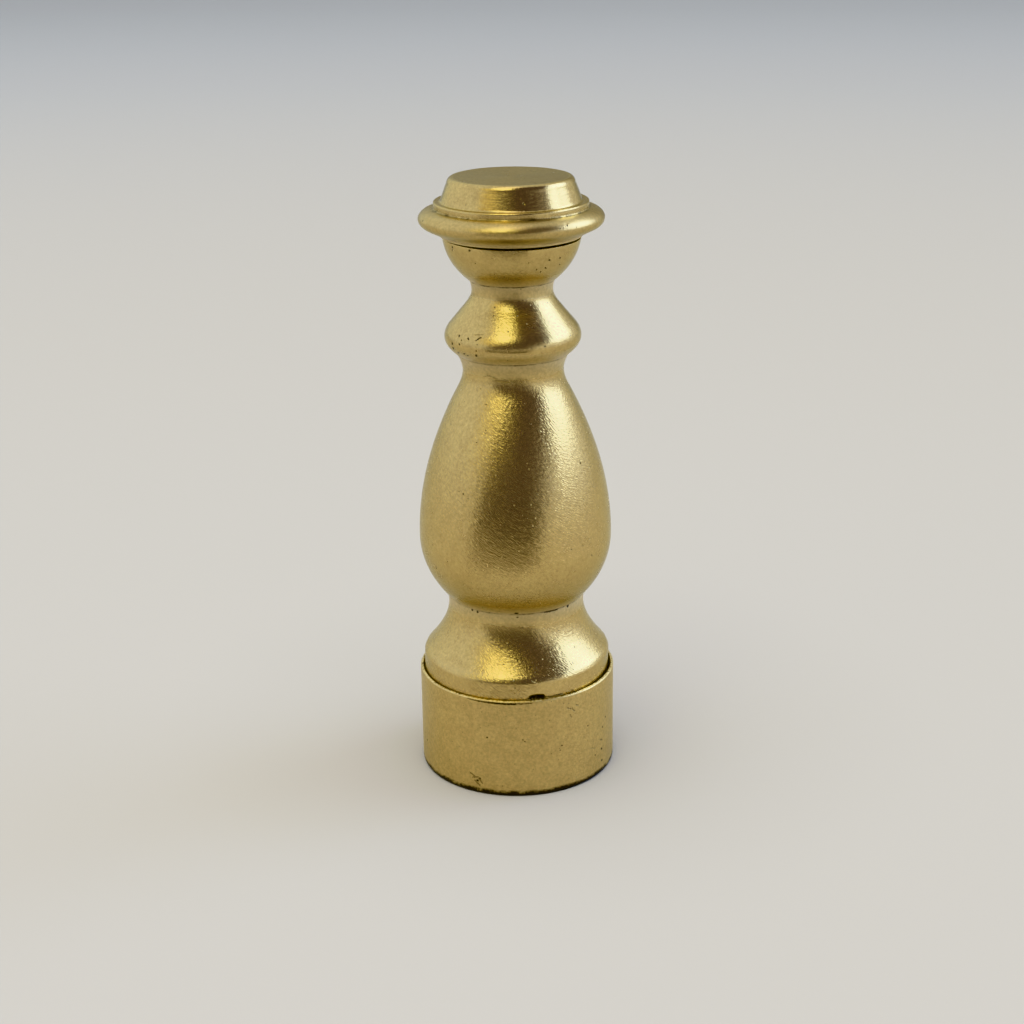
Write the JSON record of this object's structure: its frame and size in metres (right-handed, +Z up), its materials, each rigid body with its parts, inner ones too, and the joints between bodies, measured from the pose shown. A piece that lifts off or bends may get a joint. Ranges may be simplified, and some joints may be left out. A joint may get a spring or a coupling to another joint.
{
  "type": "lamp finial",
  "caption": "Small turned lamp finial with a flat-topped cap, bowl, bead and vase on a plain drum that is tapped underneath for a lamp harp's stud.",
  "frame": {"origin": "centre of the base collar's flat underside, where the finial stands", "axes": "+Z up along the turning axis; -Y is the side that the picture shows, with the small chip"},
  "size_m": [0.0168, 0.0168, 0.0508],
  "materials": {
    "matt_brass": "matt, with small pits and scratches",
    "satin_brass": "satin, bead-blasted, worn, with dirt in the creases",
    "brushed_brass": "satin, brushed round"
  },
  "bodies": {
    "root": {"base_collar": "matt_brass", "baluster": "satin_brass", "cap": "brushed_brass"}
  },
  "joints": []
}
